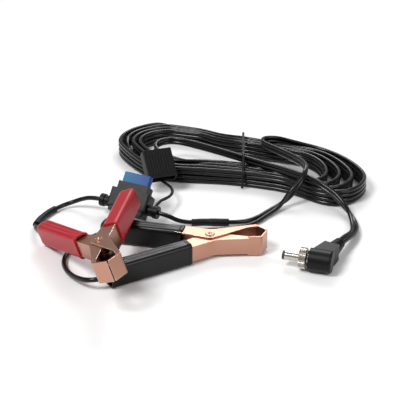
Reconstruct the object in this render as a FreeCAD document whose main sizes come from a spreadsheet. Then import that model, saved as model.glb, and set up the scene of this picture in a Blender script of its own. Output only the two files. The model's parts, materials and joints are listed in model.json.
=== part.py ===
"""A 12 volt battery lead: two spring clamps, an inline blade fuse, a hank of twin cord and a right-angle plug.

The lead lies on a flat surface, z = 0, with +Z up. All sizes are millimetres and degrees. The driving sizes
are cells of the sheet named Sizes, and every sketch and primitive is bound to them by expressions.
"""

import FreeCAD
import Part
import math
import os
import Sketcher

Vector = FreeCAD.Vector
Placement = FreeCAD.Placement
Rotation = FreeCAD.Rotation

SIZES = {
    # where the middle of the rigid pieces lies, which becomes the origin
    "origin_across": -30.05,
    "origin_deep": -59.63,
    # stamped jaws of both clamps
    "handle_slope": 22.75,
    "handle_line": 6.5,
    "jaw_slope": 5.0,
    "jaw_line": 5.75,
    "nose_slope": 33.0,
    "nose_line": 30.4,
    "nose_gap": 0.7,
    "sheet_gauge": 1.0,
    "jaw_width": 12.6,
    "layer_gap": 0.1,
    "handle_length": 68.0,
    "handle_depth": 7.6,
    "flange_depth": 2.7,
    "window_slope": 22.5,
    "lobe_back_slope": 30.0,
    "lobe_radius": 4.6,
    "bend_radius": 2.4,
    "waist_radius": 12.0,
    "nose_tab_start": 8.0,
    # hinge rivet and its spring
    "rivet_radius": 1.9,
    "rivet_clearance": 0.05,
    "rivet_head_radius": 3.0,
    "rivet_head_height": 0.7,
    "rivet_dimple_radius": 1.3,
    "rivet_head_bevel": 0.4,
    "spring_wire": 1.5,
    "spring_inner_radius": 2.3,
    "spring_turns": 5,
    "spring_leg": 22.0,
    # vinyl grips
    "grip_wall": 0.9,
    "grip_clearance": 0.1,
    "grip_start": 17.0,
    "grip_end": 70.7,
    "grip_taper": 1.0,
    "grip_end_radius": 4.6,
    "grip_edge_radius": 2.3,
    "grip_mouth_bore": 2.6,
    "lead_tail_length": 12.0,
    "crimp_length": 7.0,
    "crimp_wall": 0.5,
    "crimp_start": 0.5,
    # leads
    "lead_diameter": 3.0,
    "twin_diameter": 4.0,
    "tether_diameter": 2.0,
    "shrink_wall": 0.9,
    # fuse holder
    "holder_wide": 27.5,
    "holder_thick": 12.6,
    "holder_tall": 12.0,
    "base_wide": 25.0,
    "base_thick": 11.0,
    "base_tall": 3.6,
    "neck_wide": 21.6,
    "neck_thick": 9.4,
    "neck_tall": 5.2,
    "holder_edge_radius": 1.2,
    "cavity_wide": 18.0,
    "cavity_thick": 4.4,
    "cavity_floor": 1.6,
    "boot_radius": 3.6,
    "boot_collar_radius": 4.3,
    "boot_length": 7.2,
    "boot_collar_length": 3.2,
    "wire_height": 6.2,
    "terminal_wide": 6.8,
    "terminal_thick": 3.8,
    "terminal_tall": 9.0,
    "terminal_barrel_radius": 1.5,
    "terminal_clearance": 0.1,
    "terminal_floor": 0.5,
    # blade fuse
    "fuse_wide": 19.1,
    "fuse_thick": 5.1,
    "fuse_tall": 7.2,
    "fuse_wall": 1.0,
    "blade_wide": 5.2,
    "blade_thick": 0.65,
    "blade_long": 11.0,
    "blade_centre": 5.6,
    "fuse_seat_gap": 0.1,
    # cap and its strap
    "cap_wide": 20.8,
    "cap_thick": 9.4,
    "cap_tall": 21.0,
    "cap_wall": 0.9,
    "cap_rib_count": 8,
    "cap_rib_pitch": 2.0,
    "cap_rib_wide": 0.9,
    "cap_rib_proud": 0.5,
    "cap_rib_tall": 16.5,
    "cap_edge_radius": 0.8,
    # right-angle plug
    "plug_radius": 6.95,
    "plug_long": 14.0,
    "plug_end_radius": 1.6,
    "plug_floor_gap": 0.15,
    "shoulder_reach": 15.0,
    "shoulder_height": 11.0,
    "shoulder_top": 9.6,
    "shoulder_slope": 13.0,
    "shoulder_root": 6.25,
    "shoulder_start": 3.5,
    "relief_long": 12.6,
    "relief_radius": 4.6,
    "relief_tip_radius": 3.2,
    "relief_rib_count": 4,
    "relief_groove": 0.7,
    "relief_ridge_share": 0.6,
    "neck_radius": 3.35,
    "neck_long": 3.0,
    "neck_flange_radius": 3.8,
    "neck_flange_long": 0.8,
    "barrel_radius": 2.75,
    "barrel_wall": 0.35,
    "barrel_tip": 16.4,
    "barrel_root_step": 0.15,
    "barrel_taper_long": 0.8,
    "insulator_tip": 1.4,
    "contact_bore_radius": 1.05,
    "contact_wall": 0.4,
    "contact_recess": 0.8,
    "nut_radius": 6.15,
    "nut_long": 4.6,
    "nut_back": 1.4,
    "nut_lip": 0.8,
    "nut_lip_clearance": 0.1,
    "nut_thread_radius": 4.05,
    "nut_counterbore_radius": 5.0,
    "nut_counterbore_depth": 0.5,
    "nut_bevel": 0.4,
    # hank and tie
    "hank_height": 17.0,
    "hank_edge_radius": 5.0,
    "hank_corner_radius": 20.0,
    "hank_waist_radius": 40.0,
    "hank_hole_radius": 6.0,
    "tie_thick": 1.2,
    "tie_wide": 2.6,
    "tie_clearance": 0.3,
    "tie_span": 64.0,
}


class Size:
    """A number that also keeps the expression it comes from on the sheet."""

    def __init__(self, value, text):
        self.value = value
        self.text = text

    def __add__(self, other):
        other = as_size(other)
        return Size(self.value + other.value, f"({self.text} + {other.text})")

    def __sub__(self, other):
        other = as_size(other)
        return Size(self.value - other.value, f"({self.text} - {other.text})")

    def __mul__(self, other):
        other = as_size(other)
        return Size(self.value * other.value, f"({self.text} * {other.text})")

    def __truediv__(self, other):
        other = as_size(other)
        return Size(self.value / other.value, f"({self.text} / {other.text})")

    def __neg__(self):
        return Size(-self.value, f"(0 - {self.text})")

    __radd__ = __add__
    __rmul__ = __mul__

    def __rsub__(self, other):
        return as_size(other) - self


def as_size(number):
    """Wrap a plain number, and leave a Size as it is."""
    if isinstance(number, Size):
        return number
    return Size(float(number), f"{float(number):.6f}")


def sine(angle):
    """Sine of a Size in degrees."""
    return Size(math.sin(math.radians(angle.value)), f"sin({angle.text} * 1 deg)")


def cosine(angle):
    """Cosine of a Size in degrees."""
    return Size(math.cos(math.radians(angle.value)), f"cos({angle.text} * 1 deg)")


def size(name):
    """The Size held by one cell of the sheet."""
    return Size(SIZES[name], f"Sizes.{name}")


def width_of(name):
    """The plain value of one cell, for shapes that are computed."""
    return float(SIZES[name])


class Line:
    """A straight line in a sketch: the slope of its normal and its distance from the origin."""

    def __init__(self, slope, distance):
        self.slope = as_size(slope)
        self.distance = as_size(distance)

    def moved(self, step):
        """The parallel line that lies step further along the normal."""
        return Line(self.slope, self.distance + step)

    def meets(self, other):
        """The point shared with another line."""
        turn = sine(other.slope - self.slope)
        across = (self.distance * sine(other.slope) - other.distance * sine(self.slope)) / turn
        up = (other.distance * cosine(self.slope) - self.distance * cosine(other.slope)) / turn
        return across, up


doc = FreeCAD.newDocument("battery_lead")
sheet = doc.addObject("Spreadsheet::Sheet", "Sizes")
for row, (name, value) in enumerate(SIZES.items(), start=1):
    sheet.set(f"A{row}", name)
    sheet.set(f"B{row}", str(value))
    sheet.setAlias(f"B{row}", name)
doc.recompute()

pieces = []


def keep(item, name, placement):
    """Name a finished sub-part, put it in its place and list it for export."""
    item.Label = name
    item.Placement = placement
    pieces.append(item)
    return item


def new_body(name):
    """An empty PartDesign body."""
    return doc.addObject("PartDesign::Body", f"{name}_body")


def sketch_on(body, role, outlines, circles=(), height=0):
    """A sketch of closed outlines and circles whose points are bound to the sheet."""
    sketch = body.newObject("Sketcher::SketchObject", f"{body.Name}_sketch")
    plane = [item for item in body.Origin.OriginFeatures if item.Role == role][0]
    sketch.AttachmentSupport = [(plane, "")]
    sketch.MapMode = "FlatFace"
    lift = as_size(height)
    sketch.AttachmentOffset = Placement(Vector(0, 0, lift.value), Rotation())
    sketch.setExpression("AttachmentOffset.Base.z", lift.text)
    for outline in outlines:
        add_outline(sketch, outline)
    for centre_x, centre_y, radius in circles:
        add_circle(sketch, as_size(centre_x), as_size(centre_y), as_size(radius))
    return sketch


def pin_point(sketch, index, position, across, up):
    """Bind one point of a sketch to a pair of sizes."""
    first = sketch.addConstraint(Sketcher.Constraint("DistanceX", -1, 1, index, position, across.value))
    sketch.setExpression(f"Constraints[{first}]", across.text)
    second = sketch.addConstraint(Sketcher.Constraint("DistanceY", -1, 1, index, position, up.value))
    sketch.setExpression(f"Constraints[{second}]", up.text)


def add_outline(sketch, outline):
    """Add one closed polygon, joined corner to corner."""
    corners = [(as_size(across), as_size(up)) for across, up in outline]
    start = sketch.GeometryCount
    count = len(corners)
    for number in range(count):
        here = corners[number]
        there = corners[(number + 1) % count]
        begin = Vector(here[0].value, here[1].value, 0)
        end = Vector(there[0].value, there[1].value, 0)
        sketch.addGeometry(Part.LineSegment(begin, end), False)
    for number in range(count):
        following = start + (number + 1) % count
        sketch.addConstraint(Sketcher.Constraint("Coincident", start + number, 2, following, 1))
    for number, (across, up) in enumerate(corners):
        pin_point(sketch, start + number, 1, across, up)


def add_circle(sketch, across, up, radius):
    """Add one circle with its centre and radius bound."""
    centre = Vector(across.value, up.value, 0)
    index = sketch.addGeometry(Part.Circle(centre, Vector(0, 0, 1), radius.value), False)
    pin_point(sketch, index, 3, across, up)
    third = sketch.addConstraint(Sketcher.Constraint("Radius", index, radius.value))
    sketch.setExpression(f"Constraints[{third}]", radius.text)


def rectangle(wide, deep, centre_x=0, centre_y=0):
    """The corners of a rectangle about a centre."""
    half_wide = as_size(wide) / 2
    half_deep = as_size(deep) / 2
    left = as_size(centre_x) - half_wide
    right = as_size(centre_x) + half_wide
    low = as_size(centre_y) - half_deep
    high = as_size(centre_y) + half_deep
    return [(left, low), (right, low), (right, high), (left, high)]


def pad(body, sketch, length, symmetric=False, back=False):
    """Raise a sketch into a solid."""
    feature = body.newObject("PartDesign::Pad", f"{body.Name}_pad")
    return finish_prism(feature, sketch, length, symmetric, back)


def pocket(body, sketch, length, symmetric=False, back=False):
    """Cut a sketch out of the solid, and make sure that it cut something."""
    before = body.Tip.Shape.Volume
    feature = body.newObject("PartDesign::Pocket", f"{body.Name}_pocket")
    finish_prism(feature, sketch, length, symmetric, back)
    if feature.Shape.Volume > before - 1e-3:
        raise RuntimeError(f"a pocket of {body.Name} cuts nothing")
    return feature


def finish_prism(feature, sketch, length, symmetric, back):
    """Set the direction and the bound length of a pad or a pocket."""
    length = as_size(length)
    feature.Profile = sketch
    feature.Type = "Length"
    feature.SideType = "Symmetric" if symmetric else "One side"
    feature.Reversed = back
    feature.Length = length.value
    feature.setExpression("Length", length.text)
    doc.recompute()
    return feature


def revolve(body, sketch):
    """Turn a sketch about its own upright axis."""
    feature = body.newObject("PartDesign::Revolution", f"{body.Name}_turn")
    feature.Profile = sketch
    feature.ReferenceAxis = (sketch, ["V_Axis"])
    feature.Angle = 360
    doc.recompute()
    return feature


def round_edges(body, chosen, radius):
    """Fillet the edges of the body's last feature for which chosen(edge) is true."""
    base = body.Tip
    names = [f"Edge{i}" for i, edge in enumerate(base.Shape.Edges, start=1) if chosen(edge)]
    if not names:
        raise RuntimeError(f"no edge to round on {body.Name}")
    radius = as_size(radius)
    feature = body.newObject("PartDesign::Fillet", f"{body.Name}_fillet")
    feature.Base = (base, names)
    feature.Radius = radius.value
    feature.setExpression("Radius", radius.text)
    doc.recompute()
    return feature


def upright_at(corners):
    """A test for straight edges along Z that stand on one of the corners."""
    places = [(as_size(across).value, as_size(up).value) for across, up in corners]

    def test(edge):
        if len(edge.Vertexes) != 2:
            return False
        first, second = (vertex.Point for vertex in edge.Vertexes)
        if math.hypot(first.x - second.x, first.y - second.y) > 1e-4:
            return False
        return any(math.hypot(first.x - x, first.y - y) < 1e-3 for x, y in places)

    return test


def turned(name, profile, placement):
    """A body turned about its Z axis from a profile of (radius, height) corners."""
    body = new_body(name)
    sketch = sketch_on(body, "XZ_Plane", [profile])
    revolve(body, sketch)
    return keep(body, name, placement)


# ---------------------------------------------------------------- places
origin_shift = Vector(-width_of("origin_across"), -width_of("origin_deep"), 0)


def placed(across, deep, height, rotation):
    """A placement in the frame of the finished part."""
    return Placement(Vector(across, deep, height) + origin_shift, rotation)


def tilted_rotation(heading, rise_across, rise_deep):
    """The rotation of a flat piece on a sloping plane, with its X axis towards a heading."""
    normal = Vector(-rise_across, -rise_deep, 1).normalize()
    flat = Vector(math.cos(math.radians(heading)), math.sin(math.radians(heading)), 0)
    forward = (flat - normal * flat.dot(normal)).normalize()
    return Rotation(forward, normal.cross(forward), normal, "ZXY")


grip_width = size("jaw_width") + 2 * (size("grip_wall") + size("grip_clearance"))
half_grip = grip_width.value / 2
black_place = placed(6.1, -76.0, half_grip, Rotation(Vector(0, 0, 1), 9.1))
red_tilt = tilted_rotation(-74.0, 0.325, -0.07)
red_place = placed(-53.6, -115.6, 17.9, red_tilt)
red_place = red_place.multiply(Placement(Vector(0, 0, half_grip), Rotation()))


# ---------------------------------------------------------------- clamps
class Clamp:
    """One battery clamp. Its own frame has the rivet along Z and the closed jaws pointing along X."""

    def __init__(self, colour, placement):
        self.colour = colour
        self.placement = placement
        gauge = size("sheet_gauge")
        self.handle = Line(90 - size("handle_slope"), size("handle_line"))
        self.jaw = Line(90 + size("jaw_slope"), size("jaw_line"))
        self.nose = Line(size("nose_slope"), size("nose_line"))
        self.parting = Line(90, size("nose_gap") / 2)
        self.window = Line(90 + size("window_slope"), -size("lobe_radius"))
        self.lobe_back = Line(90 - size("lobe_back_slope"), -size("lobe_radius"))
        self.flange = self.jaw.moved(-size("flange_depth"))
        self.handle_inner = self.handle.moved(-size("handle_depth"))
        self.along_handle = 180 - size("handle_slope")
        self.inner_width = size("jaw_width") - 2 * (gauge + size("layer_gap"))

    def mirrored(self, corners, side):
        """The corners on the chosen side of the clamp."""
        return [(across, up if side > 0 else -up) for across, up in corners]

    def plate_outline(self):
        """The stamping seen from the side, before it is hollowed."""
        end = Line(self.along_handle, size("handle_length"))
        nose_inside = self.nose.moved(-size("sheet_gauge"))
        return [
            end.meets(self.handle),
            self.handle.meets(self.jaw),
            self.jaw.meets(self.nose),
            self.nose.meets(self.parting),
            self.parting.meets(nose_inside),
            nose_inside.meets(self.flange),
            self.flange.meets(self.window),
            self.window.meets(self.lobe_back),
            self.lobe_back.meets(self.handle_inner),
            self.handle_inner.meets(end),
        ]

    def hollow_outline(self):
        """What is cut away between the two side plates."""
        gauge = size("sheet_gauge")
        beyond = Line(self.along_handle, size("handle_length") + gauge)
        below = Line(90, -3 * size("lobe_radius"))
        handle_inside = self.handle.moved(-gauge)
        jaw_inside = self.jaw.moved(-gauge)
        nose_inside = self.nose.moved(-gauge)
        return [
            beyond.meets(handle_inside),
            handle_inside.meets(jaw_inside),
            jaw_inside.meets(nose_inside),
            nose_inside.meets(below),
            below.meets(beyond),
        ]

    def lever(self, name, side, plates):
        """A stamped lever: web, two side plates, bent nose and rivet holes."""
        body = new_body(f"{self.colour}_{name}")
        outline = self.mirrored(self.plate_outline(), side)
        pad(body, sketch_on(body, "XY_Plane", [outline]), plates, symmetric=True)
        hollow = self.mirrored(self.hollow_outline(), side)
        gap = plates - 2 * size("sheet_gauge")
        pocket(body, sketch_on(body, "XY_Plane", [hollow]), gap, symmetric=True)
        if plates.text != size("jaw_width").text:
            self.add_nose_tab(body, side)
        corner = self.mirrored([self.jaw.meets(self.nose)], side)
        round_edges(body, upright_at(corner), size("bend_radius"))
        waist = self.mirrored([self.handle.meets(self.jaw)], side)
        round_edges(body, upright_at(waist), size("waist_radius"))
        lobe = self.mirrored([self.window.meets(self.lobe_back)], side)
        round_edges(body, upright_at(lobe), size("lobe_radius"))
        shoulder = self.mirrored([self.flange.meets(self.window)], side)
        round_edges(body, upright_at(shoulder), size("bend_radius"))
        hole = (0, 0, size("rivet_radius") + size("rivet_clearance"))
        pocket(body, sketch_on(body, "XY_Plane", [], [hole]), 2 * plates, symmetric=True)
        return keep(body, f"{self.colour}_{name}", self.placement)

    def add_nose_tab(self, body, side):
        """The full-width tab of the narrower lever, so that both halves of the nose are as tall."""
        gauge = size("sheet_gauge")
        start = Line(0, size("nose_line") - size("nose_tab_start"))
        nose_inside = self.nose.moved(-gauge)
        jaw_inside = self.jaw.moved(-gauge)
        band = [
            start.meets(self.jaw),
            self.jaw.meets(self.nose),
            self.nose.meets(self.parting),
            self.parting.meets(nose_inside),
            nose_inside.meets(jaw_inside),
            jaw_inside.meets(start),
        ]
        outline = self.mirrored(band, side)
        pad(body, sketch_on(body, "XY_Plane", [outline]), size("jaw_width"), symmetric=True)

    def grip_outline(self, shrink, past_mouth, past_end):
        """A grip seen from the side, taken in by shrink on its long sides."""
        outer = self.handle.moved(size("grip_wall") + size("grip_clearance") - shrink)
        depth = size("handle_depth") + 2 * size("grip_wall") + 2 * size("grip_clearance")
        inner_slope = 90 - size("handle_slope") + size("grip_taper")
        mouth = Line(self.along_handle, size("grip_start") - past_mouth)
        end = Line(self.along_handle, size("grip_end") + past_end)
        inner = Line(inner_slope, size("handle_line") + size("grip_wall") - depth + shrink)
        return [mouth.meets(outer), outer.meets(end), end.meets(inner), inner.meets(mouth)]

    def grip(self, name, side, open_end):
        """A vinyl sleeve over one handle. The sleeve that a lead enters is open at its far end."""
        body = new_body(f"{self.colour}_{name}")
        wall = size("grip_wall")
        outline = self.mirrored(self.grip_outline(0, 0, 0), side)
        pad(body, sketch_on(body, "XY_Plane", [outline]), grip_width, symmetric=True)
        ends = self.mirrored(self.grip_outline(0, 0, 0)[1:3], side)
        round_edges(body, upright_at(ends), size("grip_end_radius"))
        mouth_corners = [outline[0], outline[3]]
        at_mouth = upright_at(mouth_corners)
        half = grip_width.value / 2
        reach = width_of("grip_start") + 0.5

        def on_flat_side(edge):
            flat = all(abs(abs(vertex.Point.z) - half) < 1e-4 for vertex in edge.Vertexes)
            slope = math.radians(width_of("handle_slope"))
            middle = edge.CenterOfMass
            along = -middle.x * math.cos(slope) + side * middle.y * math.sin(slope)
            return flat and along > reach

        round_edges(body, on_flat_side, size("grip_edge_radius"))
        cavity = self.mirrored(self.grip_outline(wall, 1, -wall), side)
        inside = size("jaw_width") + 2 * size("grip_clearance")
        pocket(body, sketch_on(body, "XY_Plane", [cavity]), inside, symmetric=True)
        if open_end:
            outer = self.grip_outline(wall + size("bend_radius") / 2, 1, wall)
            way_out = self.mirrored(outer, side)
            opening = 2 * size("grip_mouth_bore")
            pocket(body, sketch_on(body, "XY_Plane", [way_out]), opening, symmetric=True)
        return keep(body, f"{self.colour}_{name}", self.placement)

    def rivet(self):
        """A headed rivet through both levers, dimpled at each end."""
        half = size("jaw_width") / 2
        shank = size("rivet_radius")
        head = size("rivet_head_radius")
        rim = head - size("rivet_head_bevel")
        top = half + size("rivet_head_height")
        dimple = size("rivet_dimple_radius")
        floor = half - size("sheet_gauge")
        profile = [
            (0, -floor), (dimple, -top), (rim, -top), (head, -half), (shank, -half),
            (shank, half), (head, half), (rim, top), (dimple, top), (0, floor),
        ]
        return turned(f"{self.colour}_rivet", profile, self.placement)

    def spring(self):
        """The closing spring: a close-wound coil round the rivet and a leg against each web."""
        wire = width_of("spring_wire")
        inner = width_of("spring_inner_radius")
        turns = int(SIZES["spring_turns"])
        corners = [Vector(inner, 0, -turns * wire / 2)]
        for number in range(turns):
            low = (number - turns / 2) * wire
            corners.append(Vector(inner + 0.75 * wire, 0, low))
            corners.append(Vector(inner + wire, 0, low + 0.3 * wire))
            corners.append(Vector(inner + wire, 0, low + 0.7 * wire))
        corners.append(Vector(inner + 0.75 * wire, 0, turns * wire / 2))
        corners.append(Vector(inner, 0, turns * wire / 2))
        face = Part.Face(Part.makePolygon(corners + corners[:1]))
        coil = face.revolve(Vector(0, 0, 0), Vector(0, 0, 1), 360)
        slope = math.radians(width_of("handle_slope"))
        clear = wire / 2 + width_of("grip_clearance")
        web_inside = width_of("handle_line") - width_of("sheet_gauge") - clear
        for side in (1, -1):
            along = Vector(-math.cos(slope), side * math.sin(slope), 0)
            outward = Vector(math.sin(slope), side * math.cos(slope), 0)
            height = side * (turns - 1) * wire / 2
            foot = outward * web_inside + along * width_of("spring_leg") + Vector(0, 0, height)
            root = outward * (inner + wire / 2) + Vector(0, 0, height)
            leg = Part.makeCylinder(wire / 2, (foot - root).Length, root, foot - root)
            coil = coil.fuse(leg)
        item = doc.addObject("Part::Feature", f"{self.colour}_spring")
        item.Shape = coil.removeSplitter()
        return keep(item, f"{self.colour}_spring", self.placement)

    def lead_place(self, side, distance):
        """The middle of the lead inside a handle, at a distance along it, pointing out of the grip."""
        slope = math.radians(width_of("handle_slope"))
        along = Vector(-math.cos(slope), side * math.sin(slope), 0)
        outward = Vector(math.sin(slope), side * math.cos(slope), 0)
        inset = width_of("sheet_gauge") + width_of("crimp_wall") + width_of("lead_diameter") / 2
        line = width_of("handle_line") - inset - width_of("grip_clearance")
        turn = Rotation(Vector(0, 0, 1), along)
        local = Placement(along * distance + outward * line, turn)
        return self.placement.multiply(local)

    def lead_end(self, side):
        """The stub of lead inside the grip and the crimp that holds it to the handle."""
        tail = doc.addObject("Part::Cylinder", f"{self.colour}_lead_tail")
        tail.setExpression("Radius", "Sizes.lead_diameter / 2")
        tail.setExpression("Height", "Sizes.lead_tail_length")
        start = width_of("grip_end") - width_of("lead_tail_length")
        keep(tail, f"{self.colour}_lead_tail", self.lead_place(side, start))
        bore = size("lead_diameter") / 2
        outside = bore + size("crimp_wall")
        long = size("crimp_length")
        profile = [(bore, 0), (outside, 0), (outside, long), (bore, long)]
        turned(f"{self.colour}_crimp", profile, self.lead_place(side, start + width_of("crimp_start")))

    def build(self, outer_grip, inner_grip):
        """Make every piece of the clamp."""
        self.lever("outer_lever", 1, size("jaw_width"))
        self.lever("inner_lever", -1, self.inner_width)
        self.rivet()
        self.spring()
        self.grip(outer_grip, 1, False)
        self.grip(inner_grip, -1, True)
        self.lead_end(-1)


black_clamp = Clamp("black", black_place)
red_clamp = Clamp("red", red_place)
black_clamp.build("rear_grip", "front_grip")
red_clamp.build("right_grip", "left_grip")


# ---------------------------------------------------------------- fuse holder
def leaning_rotation(heading, lean, roll):
    """The rotation of a block whose X axis heads one way, and which leans back and then rolls."""
    turn = Rotation(Vector(0, 0, 1), heading)
    back = Rotation(Vector(1, 0, 0), -lean)
    sideways = Rotation(Vector(0, 1, 0), -roll)
    return turn.multiply(back).multiply(sideways)


# the holder's own frame: X along the leads, Z along the fuse, Y through its thickness, away from the front
holder_place = placed(-48.2, -31.4, 4.3, leaning_rotation(-20.0, 40.0, -4.0))


def round_block(body, radius):
    """Round the upright edges of a block."""
    def upright(edge):
        if len(edge.Vertexes) != 2:
            return False
        first, second = (vertex.Point for vertex in edge.Vertexes)
        return math.hypot(first.x - second.x, first.y - second.y) < 1e-4
    round_edges(body, upright, radius)


def fuse_base():
    """The plate that closes the bottom of the holder."""
    body = new_body("fuse_holder_base")
    pad(body, sketch_on(body, "XY_Plane", [rectangle(size("base_wide"), size("base_thick"))]), size("base_tall"))
    round_block(body, size("holder_edge_radius"))
    return keep(body, "fuse_holder_base", holder_place)


def fuse_body():
    """The moulded body with its neck, the fuse's cavity and the two wire passages."""
    body = new_body("fuse_holder_body")
    low = size("base_tall")
    block = rectangle(size("holder_wide"), size("holder_thick"))
    pad(body, sketch_on(body, "XY_Plane", [block], height=low), size("holder_tall"))
    round_block(body, size("holder_edge_radius"))
    neck = rectangle(size("neck_wide"), size("neck_thick"))
    full = size("holder_tall") + size("neck_tall")
    pad(body, sketch_on(body, "XY_Plane", [neck], height=low), full)
    cavity = rectangle(size("cavity_wide"), size("cavity_thick"))
    floor = low + size("cavity_floor")
    pocket(body, sketch_on(body, "XY_Plane", [cavity], height=floor), full, back=True)
    bore = size("terminal_barrel_radius") + size("terminal_clearance")
    passage = sketch_on(body, "YZ_Plane", [], [(0, size("wire_height"), bore)])
    pocket(body, passage, 2 * size("holder_wide"), symmetric=True)
    return keep(body, "fuse_holder_body", holder_place)


def wire_boot(name, side):
    """The soft collar where a lead enters the holder."""
    start = width_of("holder_wide") / 2
    collar = size("boot_collar_radius")
    plain = size("boot_radius")
    step = size("boot_length") - size("boot_collar_length")
    long = size("boot_length")
    profile = [(0, 0), (plain, 0), (plain, step), (collar, step), (collar, long), (0, long)]
    turn = Rotation(Vector(0, 1, 0), 90 * side)
    local = Placement(Vector(side * start, 0, width_of("wire_height")), turn)
    return turned(name, profile, holder_place.multiply(local))


def terminal(name, side):
    """A brass clip for one blade, with its wire barrel out to the side of the body."""
    body = new_body(name)
    low = size("base_tall") + size("cavity_floor")
    centre = side * size("blade_centre")
    clip = rectangle(size("terminal_wide"), size("terminal_thick"), centre_x=centre)
    pad(body, sketch_on(body, "XY_Plane", [clip], height=low), size("terminal_tall"))
    reach = size("holder_wide") / 2
    barrel = (0, size("wire_height"), size("terminal_barrel_radius"))
    sketch = sketch_on(body, "YZ_Plane", [], [barrel], height=centre)
    pad(body, sketch, reach - size("blade_centre"), back=side < 0)
    slot_wide = size("blade_wide") + 2 * size("terminal_clearance")
    slot_thick = size("blade_thick") + 2 * size("terminal_clearance")
    slot = rectangle(slot_wide, slot_thick, centre_x=centre)
    top = low + size("terminal_tall")
    pocket(body, sketch_on(body, "XY_Plane", [slot], height=top), size("terminal_tall") - size("terminal_floor"))
    return keep(body, name, holder_place)


def fuse_seat():
    """The height of the neck's top, on which the fuse head sits."""
    return size("base_tall") + size("holder_tall") + size("neck_tall") + size("fuse_seat_gap")


def fuse_head():
    """The tinted body of the blade fuse, hollow below for its link."""
    body = new_body("fuse_head")
    wide = rectangle(size("fuse_wide"), size("fuse_thick"))
    pad(body, sketch_on(body, "XY_Plane", [wide], height=fuse_seat()), size("fuse_tall"))
    round_block(body, size("cap_edge_radius"))
    wall = 2 * size("fuse_wall")
    hollow = rectangle(size("fuse_wide") - wall, size("fuse_thick") - wall)
    depth = size("fuse_tall") - size("fuse_wall")
    pocket(body, sketch_on(body, "XY_Plane", [hollow], height=fuse_seat()), depth, back=True)
    return keep(body, "fuse_head", holder_place)


def fuse_element():
    """The two blades and the link between them, stamped from one sheet."""
    body = new_body("fuse_element")
    seat = fuse_seat()
    bottom = seat - size("blade_long")
    shoulder = seat + size("fuse_tall") / 2
    top = shoulder + size("blade_wide") / 4
    inner = size("blade_centre") - size("blade_wide") / 2
    outer = size("blade_centre") + size("blade_wide") / 2
    outline = [
        (-outer, bottom), (-inner, bottom), (-inner, shoulder), (inner, shoulder),
        (inner, bottom), (outer, bottom), (outer, top), (-outer, top),
    ]
    pad(body, sketch_on(body, "XZ_Plane", [outline]), size("blade_thick"), symmetric=True)
    return keep(body, "fuse_element", holder_place)


fuse_base()
fuse_body()
wire_boot("left_wire_boot", -1)
wire_boot("right_wire_boot", 1)
terminal("left_terminal", -1)
terminal("right_terminal", 1)
fuse_head()
fuse_element()

# the cap's own frame: Z from its open mouth to its closed end, Y away from the ribbed front
cap_place = placed(-26.3, 10.6, 11.0, leaning_rotation(20.0, 45.0, 0.0))


def fuse_cap():
    """The box-shaped cap with ribs down its front, open at the mouth."""
    body = new_body("fuse_cap")
    pad(body, sketch_on(body, "XY_Plane", [rectangle(size("cap_wide"), size("cap_thick"))]), size("cap_tall"))
    round_block(body, size("cap_edge_radius"))
    front = -size("cap_thick") / 2
    ribs = []
    for number in range(int(SIZES["cap_rib_count"])):
        across = (number - (SIZES["cap_rib_count"] - 1) / 2) * size("cap_rib_pitch")
        low = (size("cap_tall") - size("cap_rib_tall")) / 2 + size("cap_rib_tall") / 2
        ribs.append(rectangle(size("cap_rib_wide"), size("cap_rib_tall"), centre_x=across, centre_y=low))
    sketch = sketch_on(body, "XZ_Plane", ribs, height=-front)
    pad(body, sketch, size("cap_rib_proud"))
    wall = 2 * size("cap_wall")
    hollow = rectangle(size("cap_wide") - wall, size("cap_thick") - wall)
    depth = size("cap_tall") - size("cap_wall")
    pocket(body, sketch_on(body, "XY_Plane", [hollow]), depth, back=True)
    return keep(body, "fuse_cap", cap_place)


fuse_cap()

# ---------------------------------------------------------------- plug
# the plug's own frame: X along the barrel to its tip, origin at the front of the moulded body
plug_place = placed(65.3, -95.6, width_of("plug_radius") + width_of("plug_floor_gap"), Rotation(Vector(0, 0, 1), 161.0))
barrel_place = plug_place.multiply(Placement(Vector(0, 0, 0), Rotation(Vector(0, 1, 0), 90)))
relief_heading = -90.0 - width_of("shoulder_slope")


def plug_body():
    """The moulded elbow: a short cylinder and the shoulder that the cord leaves by."""
    body = new_body("plug_body")
    sketch = sketch_on(body, "YZ_Plane", [], [(0, 0, size("plug_radius"))])
    pad(body, sketch, size("plug_long"), back=True)
    round_edges(body, lambda edge: edge.CenterOfMass.x < -1, size("plug_end_radius"))
    middle = -size("plug_long") / 2
    lean = sine(size("shoulder_slope")) * size("shoulder_reach")
    rise = cosine(size("shoulder_slope")) * size("shoulder_reach")
    half = size("shoulder_top") / 2
    tip_x = cosine(size("shoulder_slope")) * half
    tip_y = sine(size("shoulder_slope")) * half
    root = size("shoulder_root")
    start = size("shoulder_start")
    outline = [
        (middle - root, 0),
        (middle + root, 0),
        (middle + root, -start),
        (middle - lean + tip_x, -rise - tip_y),
        (middle - lean - tip_x, tip_y - rise),
        (middle - root, -start),
    ]
    pad(body, sketch_on(body, "XY_Plane", [outline]), size("shoulder_height"), symmetric=True)
    return keep(body, "plug_body", plug_place)


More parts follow.
